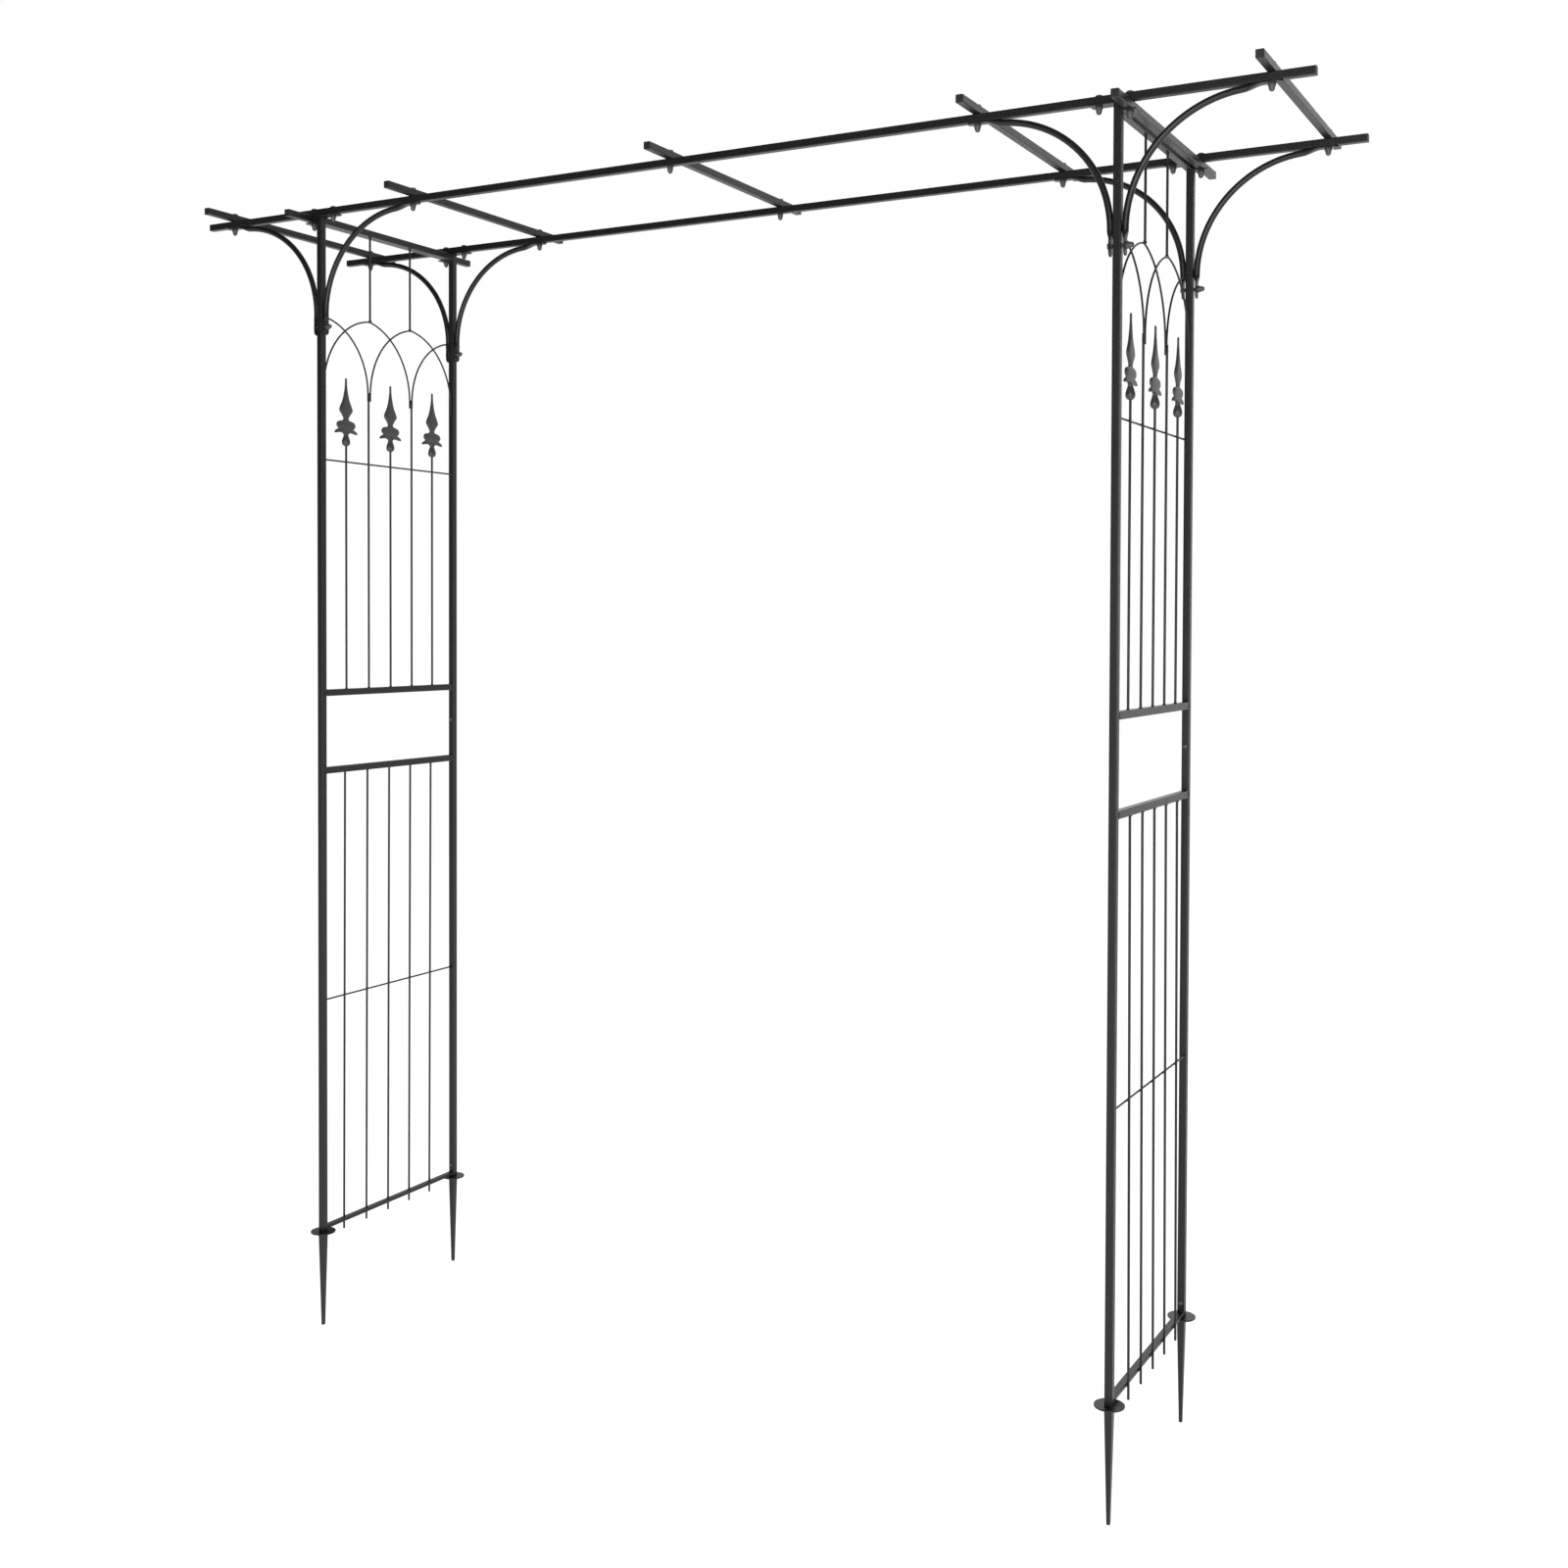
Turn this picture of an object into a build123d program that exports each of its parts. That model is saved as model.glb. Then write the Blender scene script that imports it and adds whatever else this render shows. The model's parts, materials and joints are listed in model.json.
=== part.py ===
"""Metal trellis arch: two welded lattice side panels on ground spikes, joined by a slatted top.

Everything is in millimetres. The origin is the middle of the footprint at the tips of the
ground spikes. +X runs along the top rails from the left panel to the right one, +Y runs from
the front rail to the rear one, and +Z is up. "Outward" is away from the middle along X.
"""
import os

from build123d import *

os.makedirs("parts", exist_ok=True)

# ---- layout -------------------------------------------------------------------------------
post_x = 752.0              # middle of the arch to a panel's post line
post_y = 189.0              # middle of the arch to a post and to the rail above it
rail_end_x = 1025.5
joint_x = -20.0             # where the two halves of a rail meet
crossbeam_end_y = 257.5
crossbeam_x = {
    "far_left": -967.5,
    "inner_left": -536.5,
    "centre": 0.0,
    "inner_right": 536.5,
    "far_right": 967.5,
}
sides = {"left": -1, "right": 1}
rows = {"front": -1, "rear": 1}

# ---- stock --------------------------------------------------------------------------------
tube = 12.0                 # outside of every square tube
wall = 0.8
half_tube = tube / 2
bore = tube - 2 * wall
tube_corner = 1.2
bore_corner = 0.5
rod_radius = 2.0
wire_radius = 1.6
flat_height = 6.0           # the bottom bar is a solid flat, tube wide and this high
flat_corner = 1.0
plate = 2.0

# ---- heights above the spike tips ---------------------------------------------------------
disc_under_z = 173.0
rod_stub_z = 159.0
bottom_bar_z = 181.0
spike_screw_z = 198.0
lower_tie_z = 603.0
lower_mid_bar_z = 1029.0
post_joint_z = 1080.0
joint_screw_z = 1107.0
upper_mid_bar_z = 1172.5
upper_tie_z = 1602.0
spearhead_z = 1632.0
arch_foot_z = 1722.0
brace_bolt_z = 1844.0
arch_apex_z = 1873.0
rail_under_z = 2047.0

disc_thickness = 2.0
post_bottom_z = disc_under_z + disc_thickness
rail_z = rail_under_z + half_tube
crossbeam_z = rail_z + tube
post_top_z = rail_under_z - plate
top_bar_z = post_top_z - half_tube
post_beam_z = rail_under_z - half_tube
bar_end_y = post_y - half_tube
hanger_top_z = top_bar_z - half_tube

# ---- reduced tube ends that plug into the next length ---------------------------------------
spigot = 10.0
spigot_length = 54.0
shoulder = 2.0

# ---- panel infill ---------------------------------------------------------------------------
rod_pitch = 62.0
weld_gap = 0.05
lower_rod_top_x = half_tube - rod_radius                 # flush with the lower mid bar
lower_rod_bottom_x = half_tube + rod_radius + weld_gap   # lapped on the bottom bar
apex_y = 57.5
wire_straight = 12.0        # upright foot of every arch wire
arch_lap = 16.0             # how far a rod runs up beside the wires it carries
wire_gap_y = 3.3            # rod to wire across the panel, where they stand side by side
half_arch_drop = 9.0        # a half arch meets its post this far below the full apex
apex_seat = 1.9             # wire axis to the hanger rod standing on it

# ---- spearheads -----------------------------------------------------------------------------
spear_thickness = 5.0
spear_height = 127.0
bulb_radius = 8.5
bulb_height = 21.0
socket_radius = 2.1
socket_depth = 12.0

# ---- post-top brackets ----------------------------------------------------------------------
bracket_width = 20.0
bracket_inner_reach = 41.0
bracket_bolt_inner = 29.0
bracket_step = half_tube + 0.3
beam_offset = 16.5          # post line out to the post beam's middle
bracket_outer_reach = 29.0
step_low_z = rail_under_z - tube - plate

# ---- braces ---------------------------------------------------------------------------------
brace_radius = 5.0
brace_wall = 1.0
brace_line = half_tube + brace_radius
brace_bend = 176.0
tab = 2.5
tab_width = 14.0
tab_corner = 4.0
tab_neck = 10.0
tab_end = 15.0              # bolt to the tab's free end
lower_tab_top_z = rail_under_z - brace_radius - brace_bend
upper_tab_start = 24.0      # bolt back to where the tube begins

# ---- fasteners ------------------------------------------------------------------------------
bolt_radius = 3.0
bolt_hole_radius = 3.2
nut_thread_radius = 3.05
nut_flats = 10.0
nut_height = 12.0
nut_hex = 4.5
nut_dome_radius = 4.4
nut_tip_radius = 2.6
nut_bore_depth = 8.5
bolt_in_nut = 8.0
head_radius = 5.5
head_height = 3.2
screw_radius = 2.4
screw_hole_radius = 2.5
screw_head_radius = 4.0
screw_head_height = 2.6
screw_length = 7.0
cap_flange = 2.0
cap_plug = 8.0
cap_clearance = 0.1

# ---- ground spikes --------------------------------------------------------------------------
disc_radius = 22.5
shank = 10.0
shank_length = 60.0
collar_hole = 12.1          # square hole in the foot plate, round the spike's collar
spike_tip = 5.0


# ---- helpers --------------------------------------------------------------------------------
def save(piece, name):
    """Label a finished piece and write its file."""
    piece.part.label = name
    export_step(piece.part, f"parts/{name}.step")


def tube_section(x, y):
    """Draw the square tube's section in the open sketch."""
    with Locations((x, y)):
        RectangleRounded(tube, tube, tube_corner)
        RectangleRounded(bore, bore, bore_corner, mode=Mode.SUBTRACT)


def spigot_section(x, y):
    """Draw the section of a reduced tube end in the open sketch."""
    with Locations((x, y)):
        RectangleRounded(spigot, spigot, tube_corner)
        RectangleRounded(spigot - 2 * wall, spigot - 2 * wall, bore_corner, mode=Mode.SUBTRACT)


def shoulder_section(x, y):
    """Draw the step between a tube and its reduced end in the open sketch."""
    with Locations((x, y)):
        RectangleRounded(tube, tube, tube_corner)
        RectangleRounded(spigot - 2 * wall, spigot - 2 * wall, bore_corner, mode=Mode.SUBTRACT)


def drill(points, depth, radius, rotation=(0, 0, 0)):
    """Drill round holes in the open part; unturned they run along Z."""
    with Locations(*points):
        Cylinder(radius, depth, rotation=rotation, mode=Mode.SUBTRACT)


along_x = (0, 90, 0)
along_y = (90, 0, 0)
through = 2 * tube
one_wall = 4 * wall


# ---- side panels ----------------------------------------------------------------------------
def lower_post(name, x, y, screw_y):
    """A post from the ground disc to the joint, with a reduced end that plugs upwards."""
    with BuildPart() as post:
        with BuildSketch(Plane.XY.offset(post_bottom_z)):
            tube_section(x, y)
        extrude(amount=post_joint_z - post_bottom_z)
        with BuildSketch(Plane.XY.offset(post_joint_z - shoulder)):
            shoulder_section(x, y)
        extrude(amount=shoulder)
        with BuildSketch(Plane.XY.offset(post_joint_z)):
            spigot_section(x, y)
        extrude(amount=spigot_length)
        drill([(x, screw_y, spike_screw_z), (x, screw_y, joint_screw_z)], one_wall * 2,
              screw_hole_radius, along_y)
    save(post, name)


def upper_post(name, x, y, screw_y):
    """A post from the joint to the bracket plate under the rail."""
    with BuildPart() as post:
        with BuildSketch(Plane.XY.offset(post_joint_z)):
            tube_section(x, y)
        extrude(amount=post_top_z - post_joint_z)
        drill([(x, screw_y, joint_screw_z)], one_wall * 2, screw_hole_radius, along_y)
        drill([(x, y, brace_bolt_z)], through, bolt_hole_radius, along_x)
    save(post, name)


def panel_bar(name, x, z):
    """A square bar welded between the two posts of a panel."""
    with BuildPart() as bar:
        with BuildSketch(Plane.XZ.offset(-bar_end_y)):
            tube_section(x, z)
        extrude(amount=2 * bar_end_y)
    save(bar, name)


def bottom_bar(name, x):
    """The flat bar that ties the feet of a panel together."""
    with BuildPart() as bar:
        with BuildSketch(Plane.XZ.offset(-bar_end_y)):
            with Locations((x, bottom_bar_z)):
                RectangleRounded(tube, flat_height, flat_corner)
        extrude(amount=2 * bar_end_y)
    save(bar, name)


def lower_rod_x(z):
    """Outward offset of a lower rod at height z: it leans out to lap the bottom bar."""
    top_z = lower_mid_bar_z - half_tube
    share = (top_z - z) / (top_z - bottom_bar_z)
    return lower_rod_top_x + share * (lower_rod_bottom_x - lower_rod_top_x)


def lower_rods(name, sign):
    """Five leaning rods from stubs near the ground up to the lower mid bar."""
    top_z = lower_mid_bar_z - half_tube - weld_gap
    low_x = sign * (post_x + lower_rod_x(rod_stub_z))
    top_x = sign * (post_x + lower_rod_x(top_z))
    with BuildPart() as rods:
        for row in range(-2, 3):
            foot = Vector(low_x, row * rod_pitch, rod_stub_z)
            head = Vector(top_x, row * rod_pitch, top_z)
            with BuildSketch(Plane(origin=foot, z_dir=head - foot)):
                Circle(rod_radius)
            extrude(amount=(head - foot).length)
    save(rods, name)


def upper_rods(name, x):
    """Five upright rods: the odd ones carry spearheads, the others carry the arches."""
    foot_z = upper_mid_bar_z + half_tube
    with BuildPart() as rods:
        for row in range(-2, 3):
            top_z = arch_foot_z + arch_lap if row % 2 else spearhead_z + socket_depth
            with BuildSketch(Plane.XY.offset(foot_z)):
                with Locations((x, row * rod_pitch)):
                    Circle(rod_radius)
            extrude(amount=top_z - foot_z)
    save(rods, name)


def hanger_rods(name, x):
    """Two short rods from the arch points up to the top bar."""
    foot_z = arch_apex_z + apex_seat
    with BuildPart() as rods:
        with BuildSketch(Plane.XY.offset(foot_z)):
            with Locations((x, -apex_y), (x, apex_y)):
                Circle(rod_radius)
        extrude(amount=hanger_top_z - foot_z)
    save(rods, name)


def tie_wires(name, sign):
    """Two level wires on the inner side of the rods."""
    touching = rod_radius + wire_radius
    offsets = {lower_tie_z: lower_rod_x(lower_tie_z) - touching, upper_tie_z: -touching}
    with BuildPart() as wires:
        for z, offset in offsets.items():
            with BuildSketch(Plane.XZ.offset(-bar_end_y)):
                with Locations((sign * (post_x + offset), z)):
                    Circle(wire_radius)
            extrude(amount=2 * bar_end_y)
    save(wires, name)


def arch_wire(x, foot_y, end_y, end_z):
    """Half of a pointed arch: an upright foot, then an arc that leaves it smoothly."""
    bend_z = arch_foot_z + wire_straight
    with BuildLine() as path:
        Line((x, foot_y, arch_foot_z), (x, foot_y, bend_z))
        TangentArc((x, foot_y, bend_z), (x, end_y, end_z), tangent=(0, 0, 1))
    with BuildSketch(Plane.XY.offset(arch_foot_z)) as section:
        with Locations((x, foot_y)):
            Circle(wire_radius)
    sweep(sections=section.sketch, path=path.line)


def gothic_arches(name, sign):
    """Interlaced pointed arches in two layers: two whole ones and a half one at each post."""
    layers = {-1: sign * post_x - wire_radius, 1: sign * post_x + wire_radius}
    post_leg = bar_end_y - wire_radius
    half_end_y = bar_end_y - 0.4
    half_end_z = arch_apex_z - half_arch_drop
    with BuildPart() as arches:
        for hand, x in layers.items():
            # the whole arch springs from the post on its own side
            arch_wire(x, hand * post_leg, hand * apex_y, arch_apex_z)
            arch_wire(x, -hand * (rod_pitch - wire_gap_y), hand * apex_y, arch_apex_z)
            with Locations((x, hand * apex_y, arch_apex_z)):
                Sphere(wire_radius)
            # the half arch of this layer ends on the opposite post
            arch_wire(x, -hand * (rod_pitch + wire_gap_y), -hand * half_end_y, half_end_z)
    save(arches, name)


def spearheads(name, x):
    """Flat spearheads over a round bulb, one on every second rod."""
    with BuildPart() as spears:
        for row in (-2, 0, 2):
            foot = Vector(x, row * rod_pitch, spearhead_z)
            face = Plane(origin=foot - Vector(spear_thickness / 2), x_dir=(0, 1, 0), z_dir=(1, 0, 0))
            with BuildSketch(face):
                with BuildLine():
                    collar = Polyline((0, 17), (5, 17), (7, 22))
                    lug = Spline(collar @ 1, (18, 25.5), (27, 22.5), (31, 26), (26.5, 30.5))
                    notch = Line(lug @ 1, (20.5, 32))
                    lobe = Spline(notch @ 1, (24.5, 36), (24.5, 42), (14, 46.5))
                    neck = Spline(lobe @ 1, (8.5, 48), (7, 51.5))
                    flare = Line(neck @ 1, (16.5, 64))
                    shoulder = Spline(flare @ 1, (17.8, 67), (16.6, 71))
                    blade = Spline(shoulder @ 1, (11.6, 80), (6.6, 93), (3.2, 108), (1.5, 125))
                    Line(blade @ 1, (0, spear_height))
                    mirror(about=Plane.YZ)
                make_face()
            extrude(amount=spear_thickness)
        for row in (-2, 0, 2):
            foot = Vector(x, row * rod_pitch, spearhead_z)
            with BuildSketch(Plane(origin=foot, x_dir=(0, 1, 0), z_dir=(1, 0, 0))):
                with BuildLine():
                    rim = Line((0, 0), (3, 0))
                    side = Spline(rim @ 1, (7.6, 3.6), (bulb_radius, 8), (4.6, bulb_height))
                    Polyline(side @ 1, (0, bulb_height), (0, 0))
                make_face()
            revolve(axis=Axis(foot, (0, 0, 1)))
            drill([(x, row * rod_pitch, spearhead_z)], 2 * socket_depth, socket_radius)
    save(spears, name)


# ---- top ------------------------------------------------------------------------------------
def rail_holes(low, high):
    """Bolt holes of a rail that lie between two ends."""
    bolts = list(crossbeam_x.values())
    for sign in sides.values():
        bolts.append(sign * (post_x - bracket_bolt_inner))
        bolts.append(sign * (post_x + beam_offset))
    return [x for x in bolts if low < x < high]


def left_rail(name, y):
    """The left half of a rail, with a reduced end that plugs into the right half."""
    spigot_end = joint_x + spigot_length
    with BuildPart() as rail:
        with BuildSketch(Plane.YZ.offset(-rail_end_x)):
            tube_section(y, rail_z)
        extrude(amount=joint_x + rail_end_x)
        with BuildSketch(Plane.YZ.offset(joint_x - shoulder)):
            shoulder_section(y, rail_z)
        extrude(amount=shoulder)
        with BuildSketch(Plane.YZ.offset(joint_x)):
            spigot_section(y, rail_z)
        extrude(amount=spigot_length)
        drill([(x, y, rail_z) for x in rail_holes(-rail_end_x, spigot_end)], through,
              bolt_hole_radius)
    save(rail, name)


def right_rail(name, y):
    """The right half of a rail."""
    with BuildPart() as rail:
        with BuildSketch(Plane.YZ.offset(joint_x)):
            tube_section(y, rail_z)
        extrude(amount=rail_end_x - joint_x)
        drill([(x, y, rail_z) for x in rail_holes(joint_x, rail_end_x)], through,
              bolt_hole_radius)
    save(rail, name)


def beam(name, x, z):
    """A square beam along Y, bolted where it crosses the rails."""
    with BuildPart() as bar:
        with BuildSketch(Plane.XZ.offset(-crossbeam_end_y)):
            tube_section(x, z)
        extrude(amount=2 * crossbeam_end_y)
        drill([(x, -post_y, z), (x, post_y, z)], through, bolt_hole_radius)
    save(bar, name)


def post_top_brackets():
    """A stepped plate at each post: flat under the rail, then down and under the post beam."""
    with BuildPart() as brackets:
        for sign in sides.values():
            for y_sign in rows.values():
                y = y_sign * post_y
                middle = Plane(origin=(sign * post_x, y, 0), x_dir=(sign, 0, 0), z_dir=(0, -sign, 0))
                with BuildSketch(middle):
                    with BuildLine():
                        Polyline(
                            (-bracket_inner_reach, rail_under_z),
                            (bracket_step + plate, rail_under_z),
                            (bracket_step + plate, step_low_z + plate),
                            (bracket_outer_reach, step_low_z + plate),
                            (bracket_outer_reach, step_low_z),
                            (bracket_step, step_low_z),
                            (bracket_step, post_top_z),
                            (-bracket_inner_reach, post_top_z),
                            close=True,
                        )
                    make_face()
                extrude(amount=bracket_width / 2, both=True)
                inner = sign * (post_x - bracket_bolt_inner)
                outer = sign * (post_x + beam_offset)
                drill([(inner, y, post_top_z), (outer, y, step_low_z)], through, bolt_hole_radius)
    save(brackets, "post_top_brackets")


def brace(name, sign, y, hand):
    """A quarter-round tube from a post to the rail, pressed flat at both bolted ends."""
    line_x = sign * post_x
    bolt_x = line_x + hand * (crossbeam_x["far_right"] - post_x)
    foot = Vector(line_x + hand * brace_line, y, lower_tab_top_z)
    bend_centre = foot + Vector(hand * brace_bend)
    bend_end = bend_centre + Vector(0, 0, brace_bend)
    tube_end = Vector(bolt_x - hand * upper_tab_start, y, bend_end.Z)
    upper_tab_z = rail_under_z - tab / 2
    with BuildPart() as arm:
        # both hands turn the same way about +Y: one from its foot, the other from its top
        upright = Plane(origin=bend_end, x_dir=(0, 1, 0), z_dir=(1, 0, 0))
        with BuildSketch(Plane(origin=foot) if hand > 0 else upright):
            Circle(brace_radius)
            Circle(brace_radius - brace_wall, mode=Mode.SUBTRACT)
        revolve(axis=Axis(bend_centre, (0, 1, 0)), revolution_arc=90)
        with BuildSketch(Plane(origin=bend_end, x_dir=(0, 1, 0), z_dir=(hand, 0, 0))):
            Circle(brace_radius)
            Circle(brace_radius - brace_wall, mode=Mode.SUBTRACT)
        extrude(amount=abs(tube_end.X - bend_end.X))
        # lower end: round to flat, then the tab down past its bolt
        neck_end = foot - Vector(0, 0, tab_neck)
        with BuildSketch(Plane(origin=foot)):
            Circle(brace_radius)
        with BuildSketch(Plane(origin=neck_end)):
            Ellipse(tab / 2, tab_width / 2)
        loft()
        lower_tab = neck_end.Z - brace_bolt_z + tab_end + tab / 2
        tab_middle = neck_end + Vector(0, 0, tab / 2 - lower_tab / 2)
        with BuildSketch(Plane(origin=tab_middle, x_dir=(0, 1, 0), z_dir=(1, 0, 0))):
            RectangleRounded(tab_width, lower_tab, tab_corner)
        extrude(amount=tab / 2, both=True)
        # upper end: round to flat, then the tab under the rail
        neck_end = Vector(tube_end.X + hand * tab_neck, y, upper_tab_z)
        with BuildSketch(Plane(origin=tube_end, x_dir=(0, 1, 0), z_dir=(hand, 0, 0))):
            Circle(brace_radius)
        with BuildSketch(Plane(origin=neck_end, x_dir=(0, 1, 0), z_dir=(hand, 0, 0))):
            Ellipse(tab_width / 2, tab / 2)
        loft()
        upper_tab = abs(bolt_x - neck_end.X) + tab_end + tab / 2
        tab_middle = neck_end + Vector(hand * (upper_tab / 2 - tab / 2))
        with BuildSketch(Plane(origin=tab_middle)):
            RectangleRounded(upper_tab, tab_width, tab_corner)
        extrude(amount=tab / 2, both=True)
        drill([(foot.X, y, brace_bolt_z)], 2 * tab, bolt_hole_radius, along_x)
        drill([(bolt_x, y, upper_tab_z)], 2 * tab, bolt_hole_radius)
    save(arm, name)


# ---- fasteners and small parts ----------------------------------------------------------------
def shaft(at, normal, radius, length, mode=Mode.ADD):
    """A round shaft (or a blind hole) that leaves a face along a direction."""
    with Locations(Plane(origin=at, z_dir=normal)):
        Cylinder(radius, length, align=(Align.CENTER, Align.CENTER, Align.MIN), mode=mode)


def dome_head(at, normal, radius, height):
    """A low domed screw head standing on a face, added to the open part."""
    seat = Plane(origin=at, z_dir=normal)
    with BuildSketch(Plane(origin=at, x_dir=seat.x_dir, z_dir=-seat.y_dir)) as profile:
        with BuildLine():
            rim = Line((radius, 0), (radius, height * 0.3))
            crown = Spline(rim @ 1, (radius * 0.72, height * 0.82), (0, height))
            Polyline(crown @ 1, (0, 0), (radius, 0))
        make_face()
    revolve(profile.sketch, axis=Axis(at, normal))


def bolt(at, normal, grip):
    """A dome-headed bolt: its head stands on a face and its shaft runs the other way."""
    dome_head(at, normal, head_radius, head_height)
    shaft(at, -normal, bolt_radius, grip + bolt_in_nut)


up = Vector(0, 0, 1)
post_spots = [(sx * post_x, sy * post_y) for sx in sides.values() for sy in rows.values()]


def crossbeam_bolt_spots():
    """Each bolt through a crossbeam and a rail: where its head stands, and its grip."""
    spots = []
    for name, x in crossbeam_x.items():
        grip = 2 * tube if name == "centre" else 2 * tube + tab
        for y_sign in rows.values():
            spots.append((Vector(x, y_sign * post_y, crossbeam_z + half_tube), grip))
    return spots


def bracket_bolt_spots():
    """The two bolts through a rail at each post top: where the head stands, and its grip."""
    spots = []
    rail_top = rail_z + half_tube
    for x, y in post_spots:
        out = 1 if x > 0 else -1
        spots.append((Vector(x - out * bracket_bolt_inner, y, rail_top), tube + plate))
        spots.append((Vector(x + out * beam_offset, y, rail_top), 2 * tube + plate))
    return spots


def brace_bolt_spots():
    """The bolt across each post, its head on the -X side."""
    reach = brace_line + tab / 2
    return [(Vector(x - reach, y, brace_bolt_z), 2 * reach) for x, y in post_spots]


def bolts(name, spots, normal):
    """A node of bolts that all point the same way."""
    with BuildPart() as group:
        for at, grip in spots:
            bolt(at, normal, grip)
    save(group, name)


def cap_nut(at, normal):
    """A capped hexagon nut whose seat is at a point; its dome points along the normal."""
    seat = Plane(origin=at, z_dir=normal)
    with BuildSketch(seat) as hexagon:
        RegularPolygon(nut_flats / 2, 6, major_radius=False)
    extrude(hexagon.sketch, amount=nut_hex)
    dome_height = nut_height - nut_hex
    with BuildSketch(Plane(origin=at, x_dir=seat.x_dir, z_dir=-seat.y_dir)) as profile:
        with BuildLine():
            side = Line((nut_dome_radius, nut_hex), (nut_dome_radius - 0.4, nut_hex + 0.45 * dome_height))
            cap = Spline(side @ 1, (nut_tip_radius + 0.6, nut_hex + 0.86 * dome_height), (0, nut_height))
            Polyline(cap @ 1, (0, nut_hex), (nut_dome_radius, nut_hex))
        make_face()
    revolve(profile.sketch, axis=Axis(at, normal))
    shaft(at, normal, nut_thread_radius, nut_bore_depth, Mode.SUBTRACT)


def cap_nuts():
    """One capped nut on the free end of every bolt."""
    seats = [(at - up * grip, -up) for at, grip in crossbeam_bolt_spots() + bracket_bolt_spots()]
    seats += [(at + Vector(grip), Vector(1)) for at, grip in brace_bolt_spots()]
    with BuildPart() as nuts:
        for at, normal in seats:
            cap_nut(at, normal)
    save(nuts, "cap_nuts")


def joint_screws():
    """Short dome screws through the posts: one at each post joint, one at each spike."""
    with BuildPart() as screws:
        for x, y in post_spots:
            inward = -1 if y > 0 else 1
            for z in (joint_screw_z, spike_screw_z):
                face = Vector(x, y + inward * half_tube, z)
                dome_head(face, Vector(0, inward), screw_head_radius, screw_head_height)
                shaft(face, Vector(0, -inward), screw_radius, screw_length)
    save(screws, "joint_screws")


def tube_end_caps():
    """A square plug in every open tube end of the top."""
    ends = []
    for sign in (-1, 1):
        for y_sign in rows.values():
            ends.append((Vector(sign * rail_end_x, y_sign * post_y, rail_z), Vector(sign)))
        for x in crossbeam_x.values():
            ends.append((Vector(x, sign * crossbeam_end_y, crossbeam_z), Vector(0, sign)))
        for x in (-post_x - beam_offset, post_x + beam_offset):
            ends.append((Vector(x, sign * crossbeam_end_y, post_beam_z), Vector(0, sign)))
    plug = bore - 2 * cap_clearance
    with BuildPart() as caps:
        for at, normal in ends:
            with BuildSketch(Plane(origin=at, x_dir=up, z_dir=normal)):
                RectangleRounded(tube, tube, tube_corner)
            extrude(amount=cap_flange)
            with BuildSketch(Plane(origin=at, x_dir=up, z_dir=normal)):
                RectangleRounded(plug, plug, bore_corner)
            extrude(amount=-cap_plug)
    save(caps, "tube_end_caps")


def ground_discs():
    """A round foot plate under each post, welded round the spike's square collar."""
    with BuildPart() as discs:
        with BuildSketch(Plane.XY.offset(disc_under_z)):
            with Locations(*post_spots):
                Circle(disc_radius)
                Rectangle(collar_hole, collar_hole, mode=Mode.SUBTRACT)
        extrude(amount=disc_thickness)
    save(discs, "ground_discs")


def ground_spikes():
    """A tapering square spike: a collar fills the foot plate's hole and carries the post's
    end, and a thinner shank plugs into the post."""
    with BuildPart() as spikes:
        for x, y in post_spots:
            with BuildSketch(Plane.XY):
                with Locations((x, y)):
                    Rectangle(spike_tip, spike_tip)
            with BuildSketch(Plane.XY.offset(disc_under_z)):
                with Locations((x, y)):
                    Rectangle(tube, tube)
            loft()
            with BuildSketch(Plane.XY.offset(disc_under_z)):
                with Locations((x, y)):
                    Rectangle(tube, tube)
            extrude(amount=disc_thickness)
            with BuildSketch(Plane.XY.offset(post_bottom_z)):
                with Locations((x, y)):
                    Rectangle(shank, shank)
            extrude(amount=shank_length)
            inward = -1 if y > 0 else 1
            drill([(x, y + inward * half_tube, spike_screw_z)], 2 * screw_length + 1,
                  screw_hole_radius, along_y)
    save(spikes, "ground_spikes")


# ---- build every piece --------------------------------------------------------------------------
for side, sign in sides.items():
    line_x = sign * post_x
    for row, row_sign in rows.items():
        line_y = row_sign * post_y
        inner_face = line_y - row_sign * half_tube
        lower_post(f"{side}_{row}_lower_post", line_x, line_y, inner_face)
        upper_post(f"{side}_{row}_upper_post", line_x, line_y, inner_face)
        brace(f"{side}_{row}_inner_brace", sign, line_y, -sign)
        brace(f"{side}_{row}_outer_brace", sign, line_y, sign)
    panel_bar(f"{side}_top_bar", line_x, top_bar_z)
    panel_bar(f"{side}_upper_mid_bar", line_x, upper_mid_bar_z)
    panel_bar(f"{side}_lower_mid_bar", line_x, lower_mid_bar_z)
    bottom_bar(f"{side}_bottom_bar", line_x)
    lower_rods(f"{side}_lower_rods", sign)
    upper_rods(f"{side}_upper_rods", line_x)
    hanger_rods(f"{side}_hanger_rods", line_x)
    tie_wires(f"{side}_tie_wires", sign)
    gothic_arches(f"{side}_gothic_arches", sign)
    spearheads(f"{side}_spearheads", line_x)
    beam(f"{side}_post_beam", sign * (post_x + beam_offset), post_beam_z)

for row, row_sign in rows.items():
    left_rail(f"{row}_left_rail", row_sign * post_y)
    right_rail(f"{row}_right_rail", row_sign * post_y)

for place, beam_x in crossbeam_x.items():
    beam(f"{place}_crossbeam", beam_x, crossbeam_z)

post_top_brackets()
bolts("crossbeam_bolts", crossbeam_bolt_spots(), up)
bolts("bracket_bolts", bracket_bolt_spots(), up)
bolts("brace_bolts", brace_bolt_spots(), Vector(-1))
cap_nuts()
joint_screws()
tube_end_caps()
ground_discs()
ground_spikes()
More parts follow.
